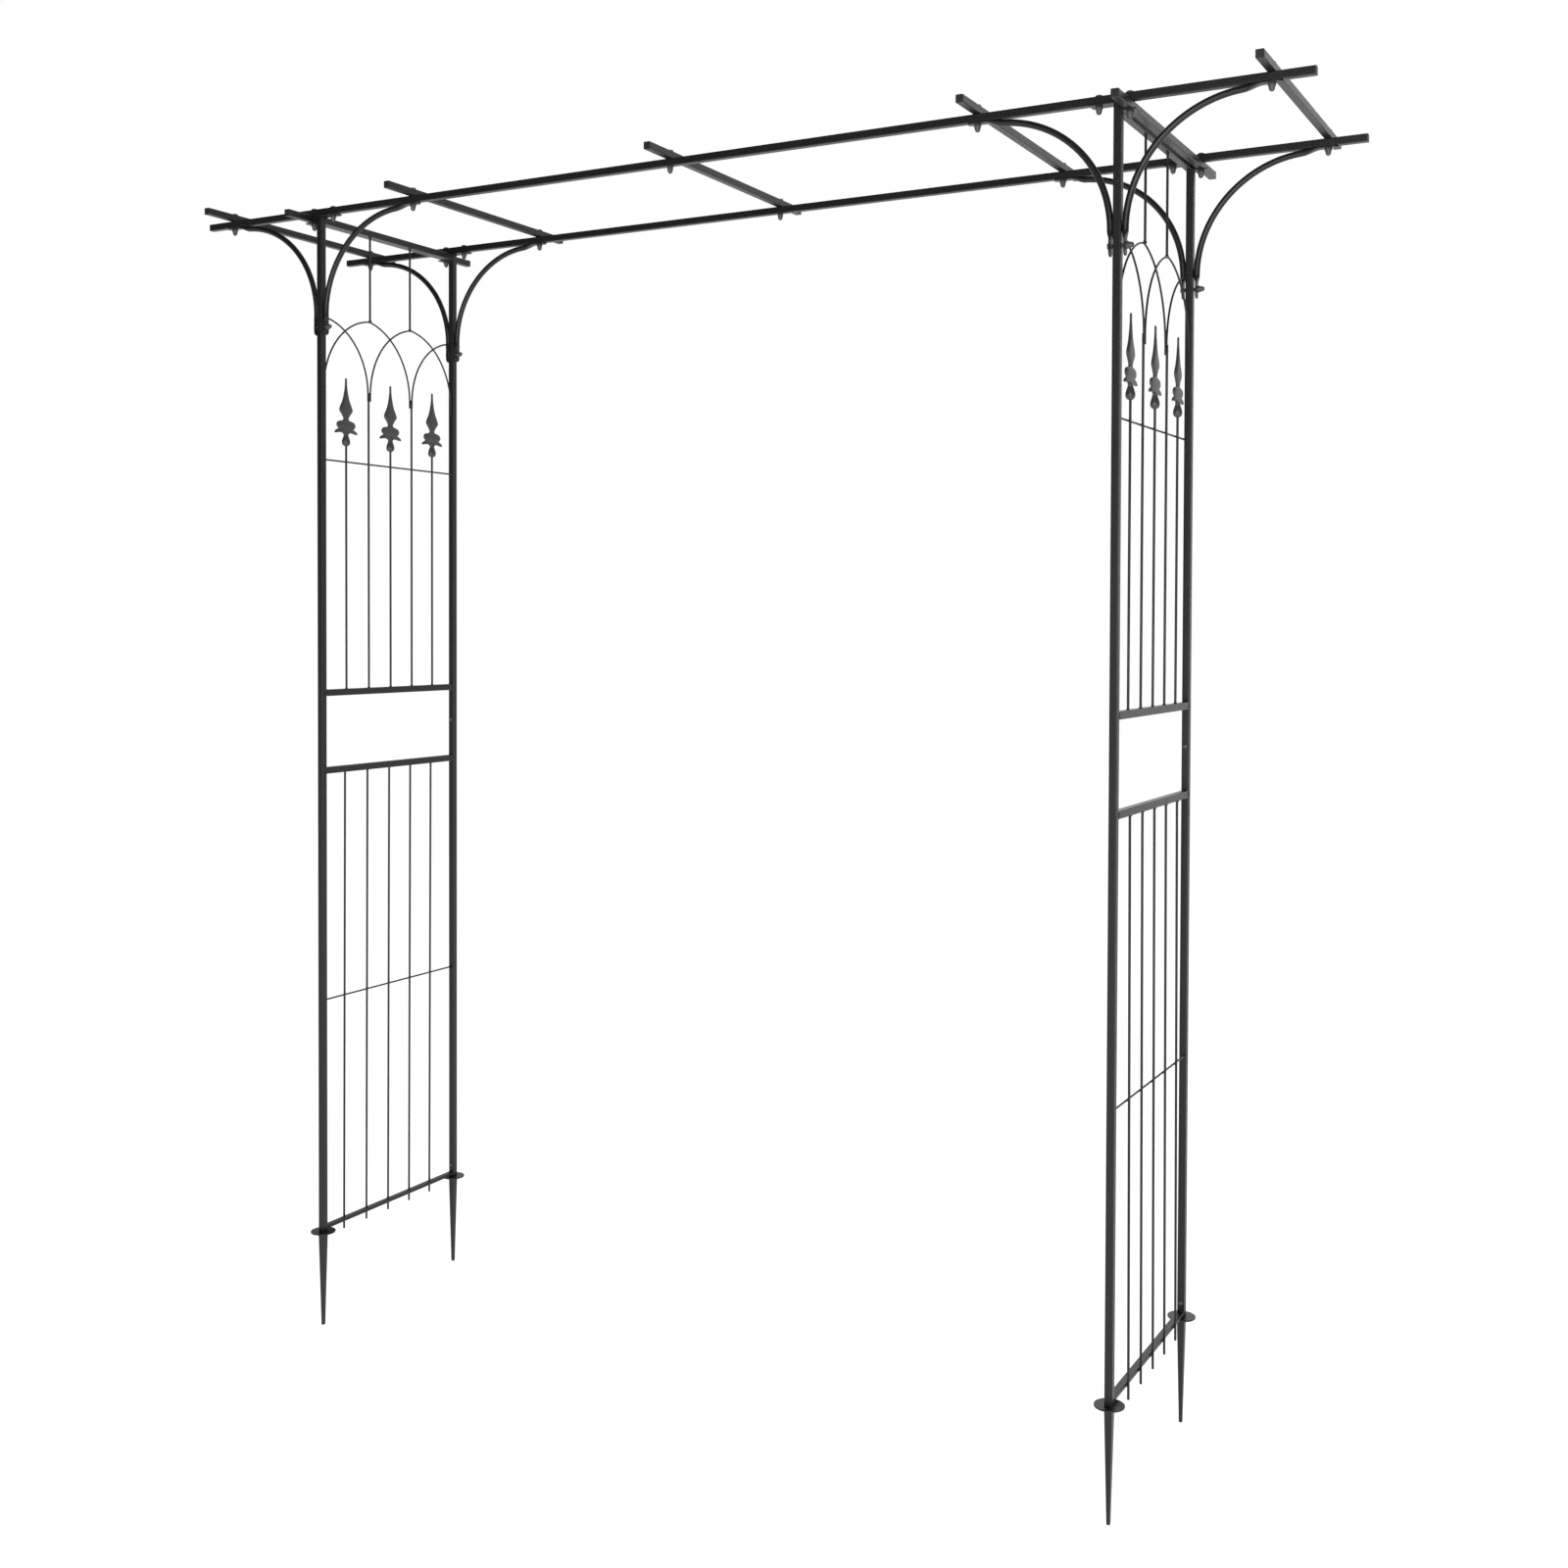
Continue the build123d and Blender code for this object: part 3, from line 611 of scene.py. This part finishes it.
# ---- fasteners ---------------------------------------------------------------------------------
@dataclass(frozen=True)
class Fasteners:
    """Bolts, capped nuts and short screws."""

    layout: Layout
    tab: float = 2.5 * MM
    plate: float = 2.0 * MM
    inner_bolt: float = 29.0 * MM
    beam_offset: float = 16.5 * MM
    bolt_radius: float = 3.0 * MM
    flats: float = 10.0 * MM
    head_radius: float = 5.5 * MM
    head_height: float = 3.2 * MM
    rim_height: float = 0.9 * MM
    chamfer: float = 0.4 * MM
    shaft_in_nut: float = 7.5 * MM
    brace_reach: float = 12.25 * MM
    screw_head: float = 4.0 * MM

    def upright(self) -> list[tuple[np.ndarray, float, str]]:
        """Every upright bolt: where its head stands, its grip, and the node it belongs to."""
        tube = 2 * self.layout.half_tube
        spots = []
        for x in self.layout.crossbeams:
            grip = 2 * tube + (self.tab if abs(x) > tube else 0.0)
            for row in Row:
                head = np.array([x, row.value * self.layout.post_y, self.layout.rail_top + tube])
                spots.append((head, grip, "crossbeam_bolts"))
        for x, y in self.layout.posts():
            out = math.copysign(1.0, x)
            for offset, grip in ((-self.inner_bolt, tube), (self.beam_offset, 2 * tube)):
                head = np.array([x + out * offset, y, self.layout.rail_top])
                spots.append((head, grip + self.plate, "bracket_bolts"))
        return spots

    def level(self) -> list[tuple[np.ndarray, float]]:
        """Every bolt across a post: where its head stands, and its grip."""
        z = self.layout.brace_bolt_z
        return [(np.array([x - self.brace_reach, y, z]), 2 * self.brace_reach)
                for x, y in self.layout.posts()]

    def build(self) -> list[bpy.types.Object]:
        """Make the bolts of each node, the nuts and the screws.

        Returns:
            The finished pieces.
        """
        up = np.array([0.0, 0.0, 1.0])
        out = np.array([1.0, 0.0, 0.0])
        groups = {"crossbeam_bolts": Surface(), "bracket_bolts": Surface(), "brace_bolts": Surface()}
        nuts = Surface()
        for head, grip, node in self.upright():
            self._bolt(groups[node], head, up, grip)
            self._nut(nuts, head - up * grip, -up)
        for head, grip in self.level():
            self._bolt(groups["brace_bolts"], head, -out, grip)
            self._nut(nuts, head + out * grip, out)
        groups["cap_nuts"] = nuts
        groups["joint_screws"] = self._screws()
        pieces = []
        for node, surface in groups.items():
            piece = surface.build(f"{node}_turned")
            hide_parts(node)
            dress(piece, Slot.FASTENER)
            pieces.append(piece)
        return pieces

    def _bolt(self, surface: Surface, at: np.ndarray, normal: np.ndarray, grip: float) -> None:
        """A dome head with a rolled rim over a plain shaft: the profile runs from the shaft's end
        up to the head's seat, out along it, and over the dome as a quarter ellipse."""
        sweep = np.linspace(0, np.pi / 2, 9)
        dome_r = self.head_radius * np.cos(sweep)
        dome_h = self.rim_height + (self.head_height - self.rim_height) * np.sin(sweep)
        shaft = self.bolt_radius - 0.02 * MM
        radii = np.concatenate([[0, shaft - self.chamfer, shaft, shaft, self.head_radius - 0.3 * MM,
                                 self.head_radius], dome_r])
        end = -(grip + self.shaft_in_nut)
        heights = np.concatenate([[end, end, end + self.chamfer, 0, 0, 0.3 * MM], dome_h])
        turned(surface, at, normal, radii, heights, columns=28)

    def _nut(self, surface: Surface, at: np.ndarray, normal: np.ndarray) -> None:
        """A capped nut: a hexagon whose corners are turned back top and bottom, a short neck, and
        an ogive cap. Round the axis the radius is never more than flats / 2 / cos(angle to the
        nearest flat)."""
        apothem = self.flats / 2
        corner = apothem / math.cos(math.pi / 6)
        skirt_r = np.array([0, apothem - 0.2 * MM, corner - 0.3 * MM, corner, corner,
                            corner - 0.25 * MM, apothem - 0.35 * MM])
        skirt_h = np.array([0, 0, 0.25, 0.6, 3.7, 4.1, 4.5]) * MM
        rise = np.linspace(0, 1, 12)
        cap_r = (apothem - 0.55 * MM) * np.sqrt(np.clip(1 - rise ** 2.4, 0, None))
        cap_h = (4.7 + 7.2 * rise) * MM

        def hexagon(angle: np.ndarray) -> np.ndarray:
            """Distance to the hexagon's side at each angle."""
            nearest = (angle + np.pi / 6) % (np.pi / 3) - np.pi / 6
            return apothem / np.cos(nearest)

        turned(surface, at, normal, np.concatenate([skirt_r, cap_r]),
               np.concatenate([skirt_h, cap_h]), columns=48, limit=hexagon)

    def _screws(self) -> Surface:
        """Short dome screws on the inner faces of the posts, two on each."""
        surface = Surface()
        low, high = node_low("joint_screws"), node_high("joint_screws")
        radius = self.screw_head
        sweep = np.linspace(0, np.pi / 2, 8)
        radii = np.concatenate([[0, 2.2 * MM, 2.4 * MM, 2.4 * MM, radius - 0.2 * MM],
                                radius * np.cos(sweep)])
        heights = np.concatenate([np.array([-7, -7, -6.7, 0, 0]) * MM,
                                  0.6 * MM + 2.0 * MM * np.sin(sweep)])
        for x, y in self.layout.posts():
            inward = -math.copysign(1.0, y)
            for z in (low[2] + radius, high[2] - radius):
                face = (x, y + inward * self.layout.half_tube, z)
                turned(surface, face, (0, inward, 0), radii, heights, columns=24)
        return surface


# ---- welds -------------------------------------------------------------------------------------
@dataclass(frozen=True)
class PanelWelds:
    """The weld beads of one side panel."""

    side: Side
    layout: Layout
    bead: float = 1.3 * MM
    ring: float = 0.95 * MM
    rod: float = 2.0 * MM
    wire: float = 1.6 * MM
    ripple_length: float = 1.7 * MM
    foot_weld: float = 7.0 * MM
    foot_spot: float = 1.9 * MM
    foot_spot_length: float = 8.0 * MM
    post_spot: float = 1.8 * MM
    post_spot_length: float = 4.5 * MM
    post_spot_heights: tuple[float, float] = (3.0 * MM, 30.0 * MM)
    end_spot: float = 2.3 * MM
    end_spot_depth: float = 1.4 * MM
    arch_rise: float = 9.0 * MM

    def build(self) -> bpy.types.Object:
        """Make every bead of the panel as one piece of separate closed beads.

        Returns:
            The finished piece.
        """
        surface = Surface()
        for bar in ("top_bar", "upper_mid_bar", "lower_mid_bar", "bottom_bar"):
            self._bar_ends(surface, f"{self.side.word}_{bar}")
        self._rod_feet(surface)
        self._ties(surface)
        self._arches(surface)
        piece = surface.build(f"{self.side.word}_weld_beads")
        dress(piece, Slot.COAT)
        return piece

    def _seam(self, surface: Surface, start: np.ndarray, end: np.ndarray, size: float,
              seed: float) -> None:
        """A straight bead: a round section along a line, its radius rippled by a sine of the
        distance and falling to nothing at both ends as a half circle."""
        length = np.linalg.norm(end - start)
        rows = max(14, int(length / (0.45 * MM)))
        t = np.linspace(0, 1, rows)
        first, second, _ = axes_about(end - start)
        ends = np.sqrt(np.clip(1 - np.abs(2 * t - 1) ** 6, 0, None))
        ripple = 1 + 0.10 * np.sin(2 * np.pi * t * length / self.ripple_length + seed)
        wander = 1 + 0.12 * np.sin(5.3 * t + 3 * seed)
        radius = size * ends * ripple * wander
        angle = np.linspace(0, 2 * np.pi, 12, endpoint=False)
        spoke = np.cos(angle)[:, None] * first + np.sin(angle)[:, None] * second
        middle = start + t[:, None] * (end - start)
        surface.add_grid(middle[:, None, :] + radius[:, None, None] * spoke[None])

    def _collar(self, surface: Surface, at: np.ndarray, normal: Sequence[float], inner: float,
                size: float, seed: float) -> None:
        """A ring bead round a rod: a round section carried round a circle, its radius rippled
        with the angle, so it closes on itself."""
        first, second, along = axes_about(normal)
        turn = np.linspace(0, 2 * np.pi, 28, endpoint=False)
        section = np.linspace(0, 2 * np.pi, 10, endpoint=False)
        radius = size * (1 + 0.14 * np.sin(7 * turn + seed) + 0.10 * np.sin(2 * turn + 2 * seed))
        spoke = np.cos(turn)[:, None] * first + np.sin(turn)[:, None] * second
        out = inner + radius[:, None] * np.cos(section)[None]
        rise = radius[:, None] * np.sin(section)[None] * 1.25
        grid = at + out[..., None] * spoke[:, None, :] + rise[..., None] * along
        surface.add_grid(grid, loop=True)

    def _blob(self, surface: Surface, at: np.ndarray, axis: Sequence[float], radius: float,
              length: float, seed: float) -> None:
        """A spot of weld: an ellipsoid about an axis with a slow ripple round it."""
        first, second, along = axes_about(axis)
        tilt = np.linspace(0, np.pi, 12)
        turn = np.linspace(0, 2 * np.pi, 18, endpoint=False)
        lump = 1 + 0.08 * np.sin(3 * turn + seed)[None] * np.sin(2 * tilt + seed)[:, None]
        spoke = np.cos(turn)[:, None] * first + np.sin(turn)[:, None] * second
        out = radius * np.sin(tilt)[:, None] * lump
        grid = (at + out[..., None] * spoke[None]
                - (length * np.cos(tilt))[:, None, None] * along)
        surface.add_grid(grid)

    def _bar_ends(self, surface: Surface, node: str) -> None:
        """Seams all round both ends of a bar, where it meets the posts."""
        low, high = node_low(node), node_high(node)
        inset = 1.2 * MM
        for number, y in enumerate((low[1], high[1])):
            for x in (low[0], high[0]):
                start, end = np.array([x, y, low[2] + inset]), np.array([x, y, high[2] - inset])
                self._seam(surface, start, end, self.bead * 0.8, x * 900 + number)
            for z in (low[2], high[2]):
                if z > self.layout.rail_under - 4 * MM:
                    continue
                start, end = np.array([low[0] + inset, y, z]), np.array([high[0] - inset, y, z])
                self._seam(surface, start, end, self.bead, z * 700 + number)

    def _rows(self, node: str, rows: int) -> np.ndarray:
        """The Y places of evenly spaced rods in a node."""
        return np.linspace(node_low(node)[1] + self.rod, node_high(node)[1] - self.rod, rows)

    def _rod_feet(self, surface: Surface) -> None:
        """Ring beads where rods end on a bar, and seams where the lower rods lap the bottom bar."""
        word, sign = self.side.word, self.side.value
        lower, upper, hanger = f"{word}_lower_rods", f"{word}_upper_rods", f"{word}_hanger_rods"
        up = (0.0, 0.0, 1.0)
        near_x = sign * (min(abs(node_low(lower)[0]), abs(node_high(lower)[0])) + self.rod)
        flat = node_middle(f"{word}_bottom_bar")
        flat_face = flat[0] + sign * self.layout.half_tube
        for number, y in enumerate(self._rows(lower, 5)):
            top = np.array([near_x, y, node_high(lower)[2]])
            self._collar(surface, top, up, self.rod, self.ring, 1.3 * number)
            for hand in (-1, 1):
                at = np.array([flat_face, y + hand * self.rod * 0.9, flat[2]])
                self._seam(surface, at - [0, 0, 2.6 * MM], at + [0, 0, 2.6 * MM], 0.9 * MM, number)
        for number, y in enumerate(self._rows(upper, 5)):
            foot = np.array([node_middle(upper)[0], y, node_low(upper)[2]])
            self._collar(surface, foot, up, self.rod, self.ring, 2.1 * number)
        for number, y in enumerate(self._rows(hanger, 2)):
            head = np.array([node_middle(hanger)[0], y, node_high(hanger)[2]])
            self._collar(surface, head, up, self.rod, self.ring, 0.7 + number)
            foot = np.array([node_middle(hanger)[0], y, node_low(hanger)[2] - 1.0 * MM])
            self._blob(surface, foot, up, 3.1 * MM, 3.4 * MM, 0.4 + number)

    def _ties(self, surface: Surface) -> None:
        """Spots where the tie wires cross the rods and meet the posts."""
        word, sign = self.side.word, self.side.value
        ties, lower, upper = f"{word}_tie_wires", f"{word}_lower_rods", f"{word}_upper_rods"
        low_z, high_z = node_low(ties)[2] + self.wire, node_high(ties)[2] - self.wire
        high_x = node_middle(upper)[0] - sign * self.rod
        outer_tie = max(abs(node_low(ties)[0]), abs(node_high(ties)[0]))
        low_x = sign * outer_tie
        for rods, x, z in ((lower, low_x, low_z), (upper, high_x, high_z)):
            for number, y in enumerate(self._rows(rods, 5)):
                self._blob(surface, np.array([x, y, z]), (sign, 0, 0), 1.7 * MM, 1.5 * MM, number)
        for x, z in ((low_x - sign * self.wire, low_z), (high_x - sign * self.wire, high_z)):
            for y in (node_low(ties)[1], node_high(ties)[1]):
                self._collar(surface, np.array([x, y, z]), (0, 1, 0), self.wire, 0.7 * MM, z * 50)

    def _arches(self, surface: Surface) -> None:
        """Long spots along the arch feet, beside the rods and on the posts, and a round spot
        where each half arch ends on its post."""
        word = self.side.word
        arches, upper = f"{word}_gothic_arches", f"{word}_upper_rods"
        x = node_middle(arches)[0]
        foot_z = node_low(arches)[2] + self.foot_weld
        up = (0.0, 0.0, 1.0)
        rods = self._rows(upper, 5)
        for number, y in enumerate((rods[1], rods[3])):
            for hand in (-1, 1):
                at = np.array([x - hand * self.wire * 0.5, y + hand * self.rod * 0.8, foot_z])
                self._blob(surface, at, up, self.foot_spot, self.foot_spot_length, number + hand)
        for hand in (-1, 1):
            face = hand * (self.layout.post_y - self.layout.half_tube)
            for height in self.post_spot_heights:
                at = np.array([x, face, node_low(arches)[2] + height])
                self._blob(surface, at, up, self.post_spot, self.post_spot_length, hand + height)
            end = np.array([x, face, node_high(arches)[2] - self.arch_rise - self.wire])
            self._blob(surface, end, (0, 1, 0), self.end_spot, self.end_spot_depth, 1.0 + hand)


# ---- studio ------------------------------------------------------------------------------------
@dataclass(frozen=True)
class Studio:
    """A pale floor, soft light and the camera."""

    floor_size: float = 60.0
    floor_tone: float = 0.5
    camera_place: tuple[float, float, float] = (1.5391, -2.6581, 1.3042)
    yaw: float = math.radians(28.725)
    pitch: float = math.radians(-1.185)
    roll: float = math.radians(-0.188)
    lens: float = 40.7178
    shift: tuple[float, float] = (0.00980625, -0.07930625)
    sensor: float = 36.0

    def build(self) -> None:
        """Make the floor, the sky that lights the arch, the lamps and the camera."""
        self._floor()
        self._sky()
        self._lamp("soft_front", (2.3, -4.6, 1.2), (0.7, 0.0, 1.5), 3.2, 230.0)
        self._lamp("top_soft", (0.5, 2.2, 4.6), (0.0, 0.0, 1.4), 4.0, 60.0)
        self._camera()
        bpy.context.scene.view_settings.view_transform = "Standard"

    def _floor(self) -> None:
        """A wide flat floor just under the spike tips, pale and partly lit from within, as a
        paper sweep is."""
        half = self.floor_size / 2
        corners = [(-half, -half, 0), (half, -half, 0), (half, half, 0), (-half, half, 0)]
        mesh = bpy.data.meshes.new("floor")
        mesh.from_pydata([(x, y, -0.5 * MM) for x, y, _ in corners], [], [(0, 1, 2, 3)])
        floor = bpy.data.objects.new("floor", mesh)
        bpy.context.scene.collection.objects.link(floor)
        material = bpy.data.materials.new("pale_floor")
        material.use_nodes = True
        shader = material.node_tree.nodes["Principled BSDF"]
        tone = self.floor_tone
        shader.inputs["Base Color"].default_value = (tone, tone, tone, 1)
        shader.inputs["Roughness"].default_value = 0.95
        shader.inputs["Specular IOR Level"].default_value = 0.0
        shader.inputs["Emission Color"].default_value = (1, 1, 1, 1)
        shader.inputs["Emission Strength"].default_value = 0.94
        floor.data.materials.append(material)

    def _sky(self) -> None:
        """White to the eye; as a light, bright behind the arch and dim in front of it, like a
        backdrop at the far end of a dark room."""
        world = bpy.data.worlds.new("studio")
        bpy.context.scene.world = world
        world.use_nodes = True
        tree = world.node_tree
        output = tree.nodes["World Output"]
        seen = tree.nodes["Background"]
        seen.inputs["Color"].default_value = (1, 1, 1, 1)
        seen.inputs["Strength"].default_value = 1.0
        place = tree.nodes.new("ShaderNodeTexCoord").outputs["Generated"]
        toward = tree.nodes.new("ShaderNodeVectorMath")
        toward.operation = "DOT_PRODUCT"
        toward.inputs[1].default_value = Vector((-0.12, 1.0, -0.10)).normalized()
        tree.links.new(place, toward.inputs[0])
        level = tree.nodes.new("ShaderNodeMapRange")
        level.interpolation_type = "SMOOTHSTEP"
        level.inputs["From Min"].default_value = 0.5
        level.inputs["From Max"].default_value = 1.0
        level.inputs["To Min"].default_value = 0.10
        level.inputs["To Max"].default_value = 1.9
        tree.links.new(toward.outputs["Value"], level.inputs["Value"])
        lighting = tree.nodes.new("ShaderNodeBackground")
        tree.links.new(level.outputs["Result"], lighting.inputs["Strength"])
        rays = tree.nodes.new("ShaderNodeLightPath")
        choose = tree.nodes.new("ShaderNodeMixShader")
        tree.links.new(rays.outputs["Is Camera Ray"], choose.inputs["Fac"])
        tree.links.new(lighting.outputs[0], choose.inputs[1])
        tree.links.new(seen.outputs[0], choose.inputs[2])
        tree.links.new(choose.outputs[0], output.inputs["Surface"])

    @staticmethod
    def _lamp(name: str, place: Sequence[float], target: Sequence[float], size: float,
              power: float) -> None:
        """A square soft lamp that faces a target."""
        light = bpy.data.lights.new(name, "AREA")
        light.size = size
        light.energy = power
        lamp = bpy.data.objects.new(name, light)
        bpy.context.scene.collection.objects.link(lamp)
        lamp.location = place
        lamp.rotation_euler = (Vector(target) - Vector(place)).to_track_quat("-Z", "Y").to_euler()

    def _camera(self) -> None:
        """The camera: yaw about Z, then pitch about its right, then roll about its view line."""
        data = bpy.data.cameras.new("camera")
        data.sensor_width = self.sensor
        data.lens = self.lens
        data.shift_x, data.shift_y = self.shift
        data.clip_end = 200.0
        camera = bpy.data.objects.new("camera", data)
        bpy.context.scene.collection.objects.link(camera)
        turn = (Matrix.Rotation(self.yaw, 3, "Z") @ Matrix.Rotation(self.pitch, 3, "X")
                @ Matrix.Rotation(self.roll, 3, "Y"))
        right, forward, up = (turn.col[i] for i in range(3))
        axes = Matrix((right, up, -forward)).transposed()
        camera.matrix_world = Matrix.Translation(self.camera_place) @ axes.to_4x4()
        bpy.context.scene.camera = camera


def main() -> None:
    """Build the studio and every sub-assembly in order."""
    logging.basicConfig(level=logging.INFO, format="%(name)s: %(message)s")
    layout = Layout.from_frame()
    Studio().build()
    dress_frame_nodes()
    pieces = []
    for side in Side:
        for row in Row:
            for inner in (True, False):
                pieces.append(Brace(side, row, inner, layout).build())
        pieces.append(Spearheads(side).build())
        pieces.append(PanelWelds(side, layout).build())
    pieces += Fasteners(layout).build()
    for piece in pieces:
        log.info("%s: %d faces", piece.name, len(piece.data.polygons))


if __name__ == "__main__":
    main()
